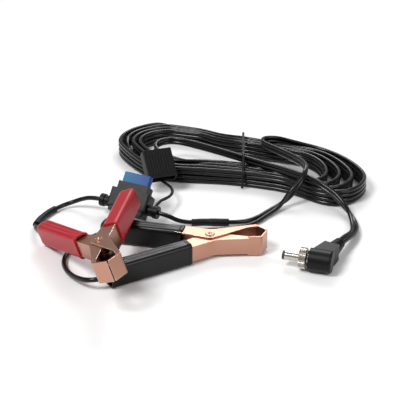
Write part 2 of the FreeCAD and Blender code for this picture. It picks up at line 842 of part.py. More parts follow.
def strain_relief():
    """The ribbed sleeve round the cord, tapering away from the shoulder."""
    count = int(SIZES["relief_rib_count"])
    long = size("relief_long")
    profile = [(0, 0)]
    for number in range(count):
        share = number / count
        radius = size("relief_radius") + (size("relief_tip_radius") - size("relief_radius")) * share
        low = long * share
        ridge = long * (share + width_of("relief_ridge_share") / count)
        high = long * ((number + 1) / count)
        profile += [(radius, low), (radius, ridge)]
        profile += [(radius - size("relief_groove"), ridge), (radius - size("relief_groove"), high)]
    profile.append((0, long))
    heading = math.radians(relief_heading)
    along = Vector(math.cos(heading), math.sin(heading), 0)
    start = Vector(-width_of("plug_long") / 2, 0, 0) + along * width_of("shoulder_reach")
    turn = Rotation(Vector(0, 0, 1), along)
    return turned("plug_strain_relief", profile, plug_place.multiply(Placement(start, turn)))


def plug_neck():
    """The plated neck that holds the locking nut by its flange."""
    neck = size("neck_radius")
    flange = size("neck_flange_radius")
    bore = size("barrel_radius") - size("barrel_root_step")
    start = size("neck_long")
    end = start + size("neck_flange_long")
    profile = [(bore, 0), (neck, 0), (neck, start), (flange, start), (flange, end), (bore, end)]
    return turned("plug_neck", profile, barrel_place)


def plug_barrel():
    """The plated outer contact, which widens by a taper in front of the neck that grips it."""
    outer = size("barrel_radius")
    inner = outer - size("barrel_wall")
    root = outer - size("barrel_root_step")
    gripped = size("neck_long") + size("neck_flange_long")
    shoulder = gripped + size("barrel_taper_long")
    end = size("barrel_tip") - size("insulator_tip")
    profile = [(inner, 0), (root, 0), (root, gripped), (outer, shoulder), (outer, end), (inner, end)]
    return turned("plug_barrel", profile, barrel_place)


def plug_insulator():
    """The black insulator inside the barrel, which shows as a ring at the tip."""
    outer = size("barrel_radius")
    inside = outer - size("barrel_wall")
    bore = size("contact_bore_radius") + size("contact_wall")
    lip = size("barrel_tip") - size("insulator_tip")
    end = size("barrel_tip")
    profile = [(bore, 0), (inside, 0), (inside, lip), (outer, lip), (outer, end), (bore, end)]
    return turned("plug_insulator", profile, barrel_place)


def plug_contact():
    """The centre contact, a sleeve for the socket's pin."""
    bore = size("contact_bore_radius")
    outer = bore + size("contact_wall")
    end = size("barrel_tip") - size("contact_recess")
    return turned("plug_contact", [(bore, 0), (outer, 0), (outer, end), (bore, end)], barrel_place)


def lock_nut():
    """The knurled nut, held by the neck's flange and threaded in front of it."""
    outer = size("nut_radius")
    back = size("nut_back")
    step = back + size("nut_counterbore_depth")
    lip = step + size("nut_lip")
    end = back + size("nut_long")
    wide = size("nut_counterbore_radius")
    narrow = size("neck_radius") + size("nut_lip_clearance")
    thread = size("nut_thread_radius")
    bevel = size("nut_bevel")
    profile = [
        (wide, back), (outer - bevel, back), (outer, back + bevel), (outer, end - bevel), (outer - bevel, end),
        (thread, end), (thread, lip), (narrow, lip), (narrow, step), (wide, step),
    ]
    return turned("lock_nut", profile, barrel_place)


plug_body()
strain_relief()
plug_neck()
plug_barrel()
plug_insulator()
plug_contact()
lock_nut()


# ---------------------------------------------------------------- cords
# each route runs from the piece it leaves to the piece it reaches, with a corner wherever it turns
RED_LEAD = [
    (-65.8, -19.7, 10.2), (-72.2, -17.1, 10.3), (-79.5, -13.0, 7.2), (-87.5, -11.6, 3.6), (-95.0, -15.8, 2.5),
    (-101.5, -25.0, 2.5), (-105.3, -36.5, 2.5), (-106.0, -47.5, 3.9), (-102.9, -56.1, 5.6), (-98.8, -61.7, 6.9),
]
FUSE_LEAD = [
    (-27.1, -35.8, 7.9), (-21.6, -38.1, 7.5), (-14.8, -39.4, 4.2), (-7.0, -38.6, 2.4), (2.5, -37.6, 2.5),
    (13.5, -38.5, 2.5), (24.0, -37.9, 2.2), (33.2, -34.6, 1.7), (39.8, -28.5, 2.0),
]
BLACK_LEAD = [
    (-52.2, -116.2, 7.3), (-58.1, -119.8, 7.3), (-64.9, -119.0, 6.2), (-70.8, -113.3, 4.1), (-75.8, -106.2, 2.3),
    (-80.4, -97.8, 1.6), (-82.8, -88.3, 1.6), (-81.8, -78.6, 1.6), (-77.6, -68.9, 1.6), (-71.2, -59.4, 1.6),
    (-63.0, -51.6, 1.6), (-52.4, -47.6, 1.6), (-39.0, -48.4, 1.6), (-24.0, -49.4, 1.6), (-8.0, -48.2, 1.6),
    (8.0, -47.4, 1.6), (22.0, -45.9, 1.6), (32.6, -41.0, 1.6), (38.6, -35.2, 1.8), (42.2, -30.5, 2.0),
]
TWIN_FEED = [
    (41.0, -29.5, 2.1), (47.3, -21.6, 2.1), (53.8, -14.9, 3.4), (60.0, -10.0, 7.6), (65.6, -6.6, 13.4),
    (70.4, -1.4, 18.6), (73.2, 6.4, 20.6), (72.4, 15.4, 20.4), (68.0, 24.6, 19.6), (61.2, 33.6, 19.3),
    (53.2, 41.2, 19.2),
]
TWIN_TAIL = [
    (74.0, 1.5, 13.5), (83.0, -7.3, 13.4), (90.6, -13.4, 10.4), (96.4, -20.2, 6.0), (99.8, -28.8, 2.9),
    (100.6, -38.8, 2.1), (99.6, -49.0, 2.6), (96.4, -58.8, 4.6), (91.3, -67.0, 6.6), (86.6, -74.4, 7.1),
]
CAP_STRAP = [
    (-29.2, -33.9, 11.2), (-26.8, -28.2, 12.6), (-23.2, -21.0, 11.0), (-19.6, -12.8, 9.4), (-18.4, -4.6, 8.9),
    (-20.4, 3.2, 8.8), (-24.2, 9.2, 8.6), (-27.6, 13.8, 8.9),
]


def bend_radius_at(before, here, after):
    """The largest tangent arc at a corner, from the shorter of its two runs."""
    first = here - before
    second = after - here
    turn = first.getAngle(second)
    return 0.45 * min(first.Length, second.Length) / math.tan(turn / 2), turn


def cord_path(points):
    """Straight runs joined by tangent arcs, with the arcs' radii."""
    edges = []
    radii = []
    last = points[0]
    for before, here, after in zip(points, points[1:], points[2:]):
        radius, turn = bend_radius_at(before, here, after)
        reach = radius * math.tan(turn / 2)
        into = (here - before).normalize()
        out = (after - here).normalize()
        start = here - into * reach
        end = here + out * reach
        inward = (out - into).normalize()
        middle = here + inward * (radius / math.cos(turn / 2) - radius)
        edges.append(Part.LineSegment(last, start).toShape())
        edges.append(Part.Arc(start, middle, end).toShape())
        radii.append(radius)
        last = end
    edges.append(Part.LineSegment(last, points[-1]).toShape())
    return Part.Wire(edges), radii


def cord(name, route, diameter_name):
    """A plain tube along a route."""
    diameter = width_of(diameter_name)
    points = [Vector(*point) + origin_shift for point in route]
    path, radii = cord_path(points)
    ring = Part.makeCircle(diameter / 2, points[0], points[1] - points[0])
    tube = path.makePipeShell([Part.Wire([ring])], True, False)
    expected = path.Length * math.pi * diameter * diameter / 4
    if abs(tube.Volume - expected) > 0.01 * expected:
        raise RuntimeError(f"{name} has the wrong volume")
    print(f"{name}: {path.Length:.1f} mm long, radii {min(radii):.1f} to {max(radii):.1f} mm")
    item = doc.addObject("Part::Feature", name)
    item.Shape = tube
    return keep(item, name, Placement())


def shrink_sleeve(name, first, second, start_share, end_share):
    """A heat-shrink sleeve round a lead, along part of the run from one corner to another."""
    begin = Vector(*first) + origin_shift
    finish = Vector(*second) + origin_shift
    run = finish - begin
    bore = size("lead_diameter") / 2
    outside = bore + size("shrink_wall")
    long = as_size(run.Length * (end_share - start_share))
    profile = [(bore, 0), (outside, 0), (outside, long), (bore, long)]
    place = Placement(begin + run * start_share, Rotation(Vector(0, 0, 1), run))
    return turned(name, profile, place)


cord("red_lead", RED_LEAD, "lead_diameter")
cord("fuse_lead", FUSE_LEAD, "lead_diameter")
cord("black_lead", BLACK_LEAD, "lead_diameter")
cord("twin_feed", TWIN_FEED, "twin_diameter")
cord("twin_tail", TWIN_TAIL, "twin_diameter")
cord("cap_strap", CAP_STRAP, "tether_diameter")

# ---------------------------------------------------------------- hank
# the outline is given by its convex corners, the two that form the waist, and the dent that the cap leans in
HANK_LEFT = [(-24.0, 129.0), (-66.0, 104.0), (-66.0, 62.0), (-42.0, 18.5)]
HANK_DENT = [(-17.0, 24.0)]
HANK_FRONT_WAIST = [(36.0, 19.5)]
HANK_RIGHT = [(84.0, -12.0), (119.0, -12.0), (126.0, 34.0)]
HANK_REAR_WAIST = [(36.0, 80.0)]
HANK_HOLE = [(-30.0, 62.0), (-8.0, 51.0), (18.0, 53.0), (-6.0, 84.0), (-32.0, 88.0)]


def shifted(corners):
    """Corners in the frame of the finished part."""
    return [(across + origin_shift.x, deep + origin_shift.y) for across, deep in corners]


def cord_hank():
    """The outer shape of the tied hank: two bundles that meet at the waist."""
    body = new_body("cord_hank")
    outside = shifted(HANK_LEFT + HANK_DENT + HANK_FRONT_WAIST + HANK_RIGHT + HANK_REAR_WAIST)
    hole = shifted(HANK_HOLE)
    pad(body, sketch_on(body, "XY_Plane", [outside]), size("hank_height"))
    round_edges(body, upright_at(shifted(HANK_LEFT + HANK_RIGHT)), size("hank_corner_radius"))
    round_edges(body, upright_at(shifted(HANK_FRONT_WAIST + HANK_REAR_WAIST)), size("hank_waist_radius"))
    pocket(body, sketch_on(body, "XY_Plane", [hole], height=size("hank_height")), size("hank_height"))
    round_edges(body, upright_at(hole), size("hank_hole_radius"))
    top = width_of("hank_height")
    round_edges(body, lambda edge: edge.BoundBox.ZMin > top - 1e-3, size("hank_edge_radius"))
    return keep(body, "cord_hank", Placement())


def hank_tie():
    """The thin tie drawn round the hank at its waist."""
    body = new_body("hank_tie")
    clear = size("tie_clearance")
    thick = size("tie_thick")
    wide = size("tie_span")
    tall = size("hank_height") + clear
    outer = rectangle(wide + 2 * thick, tall + thick, centre_y=(tall + thick) / 2)
    inner = rectangle(wide, tall - thick, centre_y=(tall + thick) / 2)
    pad(body, sketch_on(body, "YZ_Plane", [outer]), size("tie_wide"), symmetric=True)
    pocket(body, sketch_on(body, "YZ_Plane", [inner]), 2 * size("tie_wide"), symmetric=True)
    return keep(body, "hank_tie", placed(30.4, 51.6, 0.0, Rotation(Vector(0, 0, 1), -4.0)))


cord_hank()
hank_tie()
shrink_sleeve("red_lead_shrink", RED_LEAD[4], RED_LEAD[5], 0.15, 0.85)
shrink_sleeve("splice_shrink", FUSE_LEAD[4], FUSE_LEAD[5], 0.1, 0.9)


# ---------------------------------------------------------------- export
doc.recompute()
for item in doc.Objects:
    if "Invalid" in item.State or "Error" in item.State:
        raise RuntimeError(f"{item.Name} failed: {item.State}")
os.makedirs("parts", exist_ok=True)
for item in pieces:
    shape = item.Shape
    if shape.isNull() or not shape.isValid() or not shape.Solids:
        raise RuntimeError(f"{item.Label} is not a sound solid")
    shape.exportStep(f"parts/{item.Label}.step")
    box = shape.BoundBox
    print(f"{item.Label}: {len(shape.Solids)} solid, {shape.Volume:.1f} mm3, z {box.ZMin:.2f} to {box.ZMax:.2f}")
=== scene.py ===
import json
import logging
import math
from dataclasses import dataclass, field
from enum import Enum
from typing import Iterable, Optional, Sequence

import bmesh
import bpy
from mathutils import Matrix, Vector

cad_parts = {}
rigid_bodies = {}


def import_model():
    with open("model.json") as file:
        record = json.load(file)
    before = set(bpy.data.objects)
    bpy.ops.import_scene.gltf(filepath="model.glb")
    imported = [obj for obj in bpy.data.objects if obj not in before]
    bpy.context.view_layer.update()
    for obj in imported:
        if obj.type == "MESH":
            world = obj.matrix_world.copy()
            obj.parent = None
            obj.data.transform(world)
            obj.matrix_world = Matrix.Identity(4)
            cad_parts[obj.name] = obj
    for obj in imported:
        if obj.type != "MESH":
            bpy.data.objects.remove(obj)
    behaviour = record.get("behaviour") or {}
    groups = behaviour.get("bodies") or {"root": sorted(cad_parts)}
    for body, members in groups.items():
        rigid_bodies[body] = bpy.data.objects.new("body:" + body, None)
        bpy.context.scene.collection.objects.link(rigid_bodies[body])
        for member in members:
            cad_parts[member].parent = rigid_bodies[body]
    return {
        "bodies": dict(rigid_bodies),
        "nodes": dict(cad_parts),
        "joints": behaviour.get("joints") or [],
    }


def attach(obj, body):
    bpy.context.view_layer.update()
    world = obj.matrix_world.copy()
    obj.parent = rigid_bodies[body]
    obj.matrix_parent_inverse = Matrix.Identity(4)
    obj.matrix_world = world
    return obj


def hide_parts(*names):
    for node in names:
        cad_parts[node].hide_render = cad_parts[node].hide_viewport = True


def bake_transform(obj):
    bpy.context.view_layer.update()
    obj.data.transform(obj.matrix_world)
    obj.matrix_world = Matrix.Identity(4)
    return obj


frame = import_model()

# A 12 volt battery lead: two spring clamps, an inline blade fuse with its cap, a hank of twin cord and a
# right-angle plug. Routes are written in millimetres from the lead's own drawing origin, and everything that
# is built is in metres in the row frame.

logging.basicConfig(level=logging.INFO, format="%(message)s")
LOG = logging.getLogger("battery_lead")
MM = 0.001
ORIGIN = (30.05, 59.63)
WELD = 2e-6
FLAT_ANGLE = math.radians(1.0)
BEVEL_ANGLE = math.radians(38.0)
SHARP_ANGLE = 40.0
GRIP_SHARP_ANGLE = 50.0
ARC_STEPS = 6
SIDE_STEPS = 16
BUMP_DEPTH = 0.0002
UP = Vector((0.0, 0.0, 1.0))
Point = tuple[float, float, float]


def at(point: Sequence[float]) -> Vector:
    """A drawing point as a point of the row frame.

    Args:
        point: x, y and z in millimetres.

    Returns:
        The same point in metres.
    """
    return Vector(((point[0] + ORIGIN[0]) * MM, (point[1] + ORIGIN[1]) * MM, point[2] * MM))


def linear(colour: Sequence[float]) -> tuple[float, float, float]:
    """An 8-bit sRGB colour as linear values.

    Args:
        colour: red, green and blue from 0 to 255.

    Returns:
        Three linear values from 0 to 1.
    """
    shares = [c / 255 for c in colour]
    return tuple(s / 12.92 if s < 0.04045 else ((s + 0.055) / 1.055) ** 2.4 for s in shares)


# ---------------------------------------------------------------- finishes


class Socket:
    """One output of a shader node that takes part in plain arithmetic."""

    def __init__(self, graph: "Graph", output: bpy.types.NodeSocket) -> None:
        self.graph = graph
        self.output = output

    def __add__(self, other: "Socket | float") -> "Socket":
        return self.graph.maths("ADD", self, other)

    def __sub__(self, other: "Socket | float") -> "Socket":
        return self.graph.maths("SUBTRACT", self, other)

    def __mul__(self, other: "Socket | float") -> "Socket":
        return self.graph.maths("MULTIPLY", self, other)


class Graph:
    """A material's node tree."""

    def __init__(self, name: str) -> None:
        self.material = bpy.data.materials.new(name)
        self.material.use_nodes = True
        self.tree = self.material.node_tree
        self.shader = next(n for n in self.tree.nodes if n.type == "BSDF_PRINCIPLED")

    def node(self, kind: str, inputs: dict, output: "int | str" = 0, **settings: object) -> Socket:
        """Adds any node.

        Args:
            kind: the node's type name.
            inputs: a value or a Socket for each named or numbered input.
            output: which output to hand back.
            settings: properties of the node itself.

        Returns:
            The chosen output.
        """
        made = self.tree.nodes.new(kind)
        for name, value in settings.items():
            setattr(made, name, value)
        for name, value in inputs.items():
            if isinstance(value, Socket):
                self.tree.links.new(value.output, made.inputs[name])
            else:
                made.inputs[name].default_value = value
        return Socket(self, made.outputs[output])

    def maths(self, operation: str, a: "Socket | float", b: "Socket | float") -> Socket:
        """Adds one arithmetic node.

        Args:
            operation: the operation's name.
            a: the first operand.
            b: the second operand.

        Returns:
            The result.
        """
        return self.node("ShaderNodeMath", {0: a, 1: b}, operation=operation)

    def feed(self, name: str, value: Socket) -> None:
        """Links a value to the shader.

        Args:
            name: the shader's input.
            value: what it takes.
        """
        self.tree.links.new(value.output, self.shader.inputs[name])


@dataclass(frozen=True)
class Finish:
    """How one kind of surface looks. Colours are 8-bit sRGB, grain is cells to a metre."""

    name: str
    colour: tuple[int, int, int]
    roughness: float
    metallic: float = 0.0
    coat: float = 0.0
    grain: float = 500.0
    variation: float = 0.08
    spread: float = 0.08
    bump: float = 0.05
    specular: float = 0.5
    alpha: float = 1.0
    other: Optional[tuple[int, int, int]] = None
    line: tuple[Point, Point] = ((0.0, 0.0, 0.0), (1.0, 0.0, 0.0))

    def build(self) -> bpy.types.Material:
        """Makes the material.

        Returns:
            A material driven by object coordinates alone.
        """
        graph = Graph(self.name)
        place = graph.node("ShaderNodeTexCoord", {}, output="Object")
        grain = graph.node("ShaderNodeTexNoise", {"Vector": place, "Scale": self.grain, "Detail": 3.0})
        level = grain * (2 * self.variation) + (1 - self.variation)
        colour: "Socket | tuple" = linear(self.colour)
        if self.other:
            start, end = (at(p) for p in self.line)
            run = end - start
            along = run / run.length_squared
            share = graph.node("ShaderNodeVectorMath", {0: place, 1: along}, output="Value",
                               operation="DOT_PRODUCT") - start.dot(along)
            mixed = graph.tree.nodes.new("ShaderNodeMix")
            mixed.data_type = "RGBA"
            graph.tree.links.new(share.output, mixed.inputs[0])
            mixed.inputs[6].default_value = (*linear(self.colour), 1.0)
            mixed.inputs[7].default_value = (*linear(self.other), 1.0)
            colour = Socket(graph, mixed.outputs[2])
        tinted = graph.node("ShaderNodeVectorMath", {0: colour, "Scale": level}, operation="SCALE")
        graph.feed("Base Color", tinted)
        graph.feed("Roughness", (grain - 0.5) * self.spread + self.roughness)
        if self.bump:
            graph.feed("Normal", graph.node(
                "ShaderNodeBump", {"Height": grain, "Strength": self.bump, "Distance": BUMP_DEPTH}, output="Normal"))
        graph.shader.inputs["Metallic"].default_value = self.metallic
        graph.shader.inputs["Coat Weight"].default_value = self.coat
        graph.shader.inputs["Alpha"].default_value = self.alpha
        graph.shader.inputs["Specular IOR Level"].default_value = self.specular
        return graph.material


class Look(Enum):
    """Every finish on the lead. Each is named after the record's slot, except the painted highlight on the sheet's
    rounded edges.
    """

    COPPER_PLATE = Finish("copper_plate", (190, 142, 122), 0.3, metallic=0.95, grain=90, variation=0.06, bump=0.0)
    # A painted highlight: a pale copper laid on the levers' rounded edges to stand for the light that their rims
    # catch.
    PAINTED_EDGE_HIGHLIGHT = Finish("painted_edge_highlight", (246, 214, 190), 0.2, metallic=0.9)
    RIVET_STEEL = Finish("rivet_steel", (188, 140, 120), 0.28, metallic=0.9, bump=0.0)
    SPRING_STEEL = Finish("spring_steel", (132, 96, 78), 0.34, metallic=0.85)
    RED_VINYL = Finish("red_vinyl", (164, 0, 24), 0.38, coat=0.05, grain=180, specular=0.35)
    BLACK_VINYL = Finish("black_vinyl", (4, 4, 5), 0.32, coat=0.05, grain=180, specular=0.3)
    BRASS_TERMINAL = Finish("brass_terminal", (200, 164, 104), 0.3, metallic=0.9)
    HOLDER_PLASTIC = Finish("holder_plastic", (5, 5, 6), 0.44, specular=0.25)
    CAP_RUBBER = Finish("cap_rubber", (7, 7, 8), 0.5, specular=0.25)
    FUSE_BLUE = Finish("fuse_blue", (0, 104, 150), 0.4, specular=0.2, bump=0.0,
                       other=(0, 44, 132), line=((-52.0, -22.0, 25.0), (-33.0, -29.0, 25.0)))
    FUSE_METAL = Finish("fuse_metal", (196, 196, 192), 0.32, metallic=0.9)
    PLUG_BLACK = Finish("plug_black", (4, 4, 5), 0.42, specular=0.25)
    PLUG_NICKEL = Finish("plug_nickel", (196, 190, 182), 0.2, metallic=1.0)
    PLUG_INSULATION = Finish("plug_insulation", (24, 24, 26), 0.45)
    HEAT_SHRINK = Finish("heat_shrink", (12, 12, 13), 0.5, specular=0.25)
    TIE_VINYL = Finish("tie_vinyl", (10, 10, 11), 0.34, specular=0.3)
    BOOT_RUBBER = Finish("boot_rubber", (12, 12, 13), 0.46, specular=0.25)
    LEAD_VINYL = Finish("lead_vinyl", (3, 3, 4), 0.26, coat=0.12, grain=220, specular=0.35)


class Palette:
    """Makes each material once and puts it on pieces."""

    def __init__(self) -> None:
        self.made: dict[Look, bpy.types.Material] = {}

    def material(self, look: Look) -> bpy.types.Material:
        """The material for a finish.

        Args:
            look: the finish.

        Returns:
            Its material, made on first use.
        """
        if look not in self.made:
            self.made[look] = look.value.build()
        return self.made[look]

    def paint(self, piece: bpy.types.Object, look: Look) -> bpy.types.Object:
        """Gives a piece one finish.

        Args:
            piece: the object.
            look: its finish.

        Returns:
            The same object.
        """
        piece.data.materials.clear()
        piece.data.materials.append(self.material(look))
        return piece


PALETTE = Palette()


# ---------------------------------------------------------------- shapes


def piece(name: str, points: Sequence[Vector], faces: Sequence[Sequence[int]], look: Look,
          crease: float = SHARP_ANGLE) -> bpy.types.Object:
    """A new smooth-shaded mesh object at the origin.

    Args:
        name: the object's name.
        points: its corners in the row frame.
        faces: corner numbers of each face.
        look: its finish.
        crease: the angle in degrees above which an edge stays sharp.

    Returns:
        The object.
    """
    mesh = bpy.data.meshes.new(name)
    mesh.from_pydata([tuple(p) for p in points], [], [tuple(f) for f in faces])
    mesh.validate()
    mesh.polygons.foreach_set("use_smooth", [True] * len(mesh.polygons))
    mesh.set_sharp_from_angle(angle=math.radians(crease))
    made = bpy.data.objects.new(name, mesh)
    bpy.context.scene.collection.objects.link(made)
    PALETTE.paint(made, look)
    LOG.info("%s: %d faces", name, len(mesh.polygons))
    return made


def body_of(node: str) -> str:
    """The body that carries a CAD node.

    Args:
        node: the node's name.

    Returns:
        The body's name.
    """
    parent = frame["nodes"][node].parent
    return next(name for name, empty in frame["bodies"].items() if empty is parent)


def softened(node: str, look: Look, bevel: float, edge: Optional[Look] = None) -> bpy.types.Object:
    """A copy of a CAD node with rounded edges, which takes its place.

    Args:
        node: the CAD node.
        look: its finish.
        bevel: the width of the rounding, in millimetres.
        edge: the finish of the rounded edges, if it is another one; on the levers this is a painted highlight.

    Returns:
        The copy, riding on the node's body.
    """
    work = bmesh.new()
    work.from_mesh(frame["nodes"][node].data)
    bmesh.ops.remove_doubles(work, verts=work.verts, dist=WELD)
    bmesh.ops.dissolve_limit(work, angle_limit=FLAT_ANGLE, verts=work.verts, edges=work.edges)
    work.verts.index_update()
    points = [v.co.copy() for v in work.verts]
    faces = [[v.index for v in f.verts] for f in work.faces]
    work.free()
    made = piece(f"{node}_visual", points, faces, look)
    rounding = made.modifiers.new("rounding", "BEVEL")
    rounding.width = bevel * MM
    rounding.segments = 2
    rounding.limit_method = "ANGLE"
    rounding.angle_limit = BEVEL_ANGLE
    # The rounded edges take a second finish, which on the levers is a painted highlight.
    if edge:
        made.data.materials.append(PALETTE.material(edge))
        rounding.material = 1
    made.modifiers.new("normals", "WEIGHTED_NORMAL").keep_sharp = True
    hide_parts(node)
    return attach(made, body_of(node))


def nurbs(points: Iterable[Sequence[float]], resolution: int = 8) -> list[Vector]:
    """Points along a smooth route.

    Args:
        points: the route's corners.
        resolution: samples to a corner.

    Returns:
        The samples in order.
    """
    corners = [tuple(p) for p in points]
    curve = bpy.data.curves.new("route", "CURVE")
    curve.dimensions = "3D"
    spline = curve.splines.new("NURBS")
    spline.points.add(len(corners) - 1)
    for slot, corner in zip(spline.points, corners):
        slot.co = (*corner, 1.0)
    spline.order_u = 3
    spline.use_endpoint_u = True
    spline.resolution_u = resolution
    holder = bpy.data.objects.new("route", curve)
    bpy.context.scene.collection.objects.link(holder)
    graph = bpy.context.evaluated_depsgraph_get()
    mesh = bpy.data.meshes.new_from_object(holder.evaluated_get(graph))
    samples = [v.co.copy() for v in mesh.vertices]
    bpy.data.objects.remove(holder)
    bpy.data.curves.remove(curve)
    bpy.data.meshes.remove(mesh)
    return samples


def length(path: Sequence[Vector]) -> float:
    """The length of a path.

    Args:
        path: its points.

    Returns:
        The sum of its runs.
    """
    return sum((b - a).length for a, b in zip(path, path[1:]))


def circle(radius: float, count: int = 18) -> list[tuple[float, float]]:
    """A round section.

    Args:
        radius: in metres.
        count: how many corners.

    Returns:
        The section's corners.
    """
    turn = 2 * math.pi / count
    return [(radius * math.cos(i * turn), radius * math.sin(i * turn)) for i in range(count)]


def twin_section(radius: float, offset: float, count: int = 11) -> list[tuple[float, float]]:
    """The outline of two round cores side by side.

    Args:
        radius: of each core, in metres.
        offset: of each core from the middle, in metres.
        count: corners to a core.

    Returns:
        The section's corners.
    """
    reach = math.pi - math.acos(offset / radius)
    angles = [-reach + 2 * reach * i / (count - 1) for i in range(count)]
    right = [(offset + radius * math.cos(a), radius * math.sin(a)) for a in angles]
    return right + [(-x, -y) for x, y in right]


def sweep(name: str, path: Sequence[Vector], section: Sequence[tuple[float, float]], look: Look,
          tilts: Optional[Sequence[float]] = None, scales: Optional[Sequence[float]] = None) -> bpy.types.Object:
    """A section carried along a path.

    Args:
        name: the piece's name.
        path: the points that it follows.
        section: the outline's corners.
        look: its finish.
        tilts: the section's turn from flat at each point, in radians.
        scales: the section's size at each point.

    Returns:
        The piece.
    """
    points: list[Vector] = []
    count = len(section)
    for i, here in enumerate(path):
        ahead = (path[min(i + 1, len(path) - 1)] - path[max(i - 1, 0)]).normalized()
        side = ahead.cross(UP).normalized()
        rise = side.cross(ahead)
        tilt = tilts[i] if tilts else 0.0
        size = scales[i] if scales else 1.0
        across = side * math.cos(tilt) + rise * math.sin(tilt)
        over = rise * math.cos(tilt) - side * math.sin(tilt)
        points += [here + (across * x + over * y) * size for x, y in section]
    faces = [
        (i * count + j, i * count + (j + 1) % count, (i + 1) * count + (j + 1) % count, (i + 1) * count + j)
        for i in range(len(path) - 1) for j in range(count)
    ]
    last = (len(path) - 1) * count
    faces += [tuple(reversed(range(count))), tuple(range(last, last + count))]
    return piece(name, points, faces, look)


class Repeats:
    """A geometry node tree that is baked into a plain mesh."""

    def __init__(self, name: str) -> None:
        self.tree = bpy.data.node_groups.new(name, "GeometryNodeTree")
        self.tree.interface.new_socket("Geometry", in_out="OUTPUT", socket_type="NodeSocketGeometry")
        self.values: dict[str, object] = {}
        self.inputs = self.tree.nodes.new("NodeGroupInput")

    def value(self, name: str, kind: str, amount: object) -> bpy.types.NodeSocket:
        """Adds an input to the tree.

        Args:
            name: what it is called.
            kind: the socket's type name.
            amount: its value.

        Returns:
            The output that carries it.
        """
        made = self.tree.interface.new_socket(name, in_out="INPUT", socket_type=kind)
        self.values[made.identifier] = amount
        return next(o for o in self.inputs.outputs if o.identifier == made.identifier)

    def node(self, kind: str, inputs: dict, output: "int | str" = 0, **settings: object) -> bpy.types.NodeSocket:
        """Adds any node.

        Args:
            kind: the node's type name.
            inputs: a value or an output for each input.
            output: which output to hand back.
            settings: properties of the node itself.

        Returns:
            The chosen output.
        """
        made = self.tree.nodes.new(kind)
        for name, value in settings.items():
            setattr(made, name, value)
        for name, value in inputs.items():
            if isinstance(value, bpy.types.NodeSocket):
                self.tree.links.new(value, made.inputs[name])
            else:
                made.inputs[name].default_value = value
        return made.outputs[output]

    def bake(self, name: str, result: bpy.types.NodeSocket, look: Look, place: Matrix) -> bpy.types.Object:
        """Turns the tree's result into a piece.

        Args:
            name: the piece's name.
            result: the geometry.
            look: its finish.
            place: where the tree's own axes lie in the row frame.

        Returns:
            The piece, at the origin.
        """
        real = self.node("GeometryNodeRealizeInstances", {"Geometry": result})
        painted = self.node("GeometryNodeSetMaterial", {"Geometry": real, "Material": PALETTE.material(look)})
        self.tree.links.new(painted, self.tree.nodes.new("NodeGroupOutput").inputs[0])
        seed = bpy.data.objects.new(name, bpy.data.meshes.new("seed"))
        bpy.context.scene.collection.objects.link(seed)
        modifier = seed.modifiers.new("repeats", "NODES")
        modifier.node_group = self.tree
        for identifier, amount in self.values.items():
            modifier[identifier] = amount
        bpy.context.view_layer.update()
        baked = bpy.data.meshes.new_from_object(seed.evaluated_get(bpy.context.evaluated_depsgraph_get()))
        seed.modifiers.remove(modifier)
        baked.transform(place)
        baked.polygons.foreach_set("use_smooth", [True] * len(baked.polygons))
        baked.set_sharp_from_angle(angle=math.radians(SHARP_ANGLE))
        seed.data = baked
        PALETTE.paint(seed, look)
        LOG.info("%s: %d faces from repeats", name, len(baked.polygons))
        return seed


def axes(x: Vector, y: Vector, z: Vector, origin: Vector) -> Matrix:
    """A placement from three axes and an origin.

    Args:
        x: the first axis.
        y: the second axis.
        z: the third axis.
        origin: where they start.

    Returns:
        The placement.
    """
    turned = Matrix((x, y, z)).transposed().to_4x4()
    turned.translation = origin
    return turned


# ---------------------------------------------------------------- clamps


class Face(Enum):
    """The side of a grip that carries its ridges, as its number in the section."""

    TOP = 0
    INNER = 1


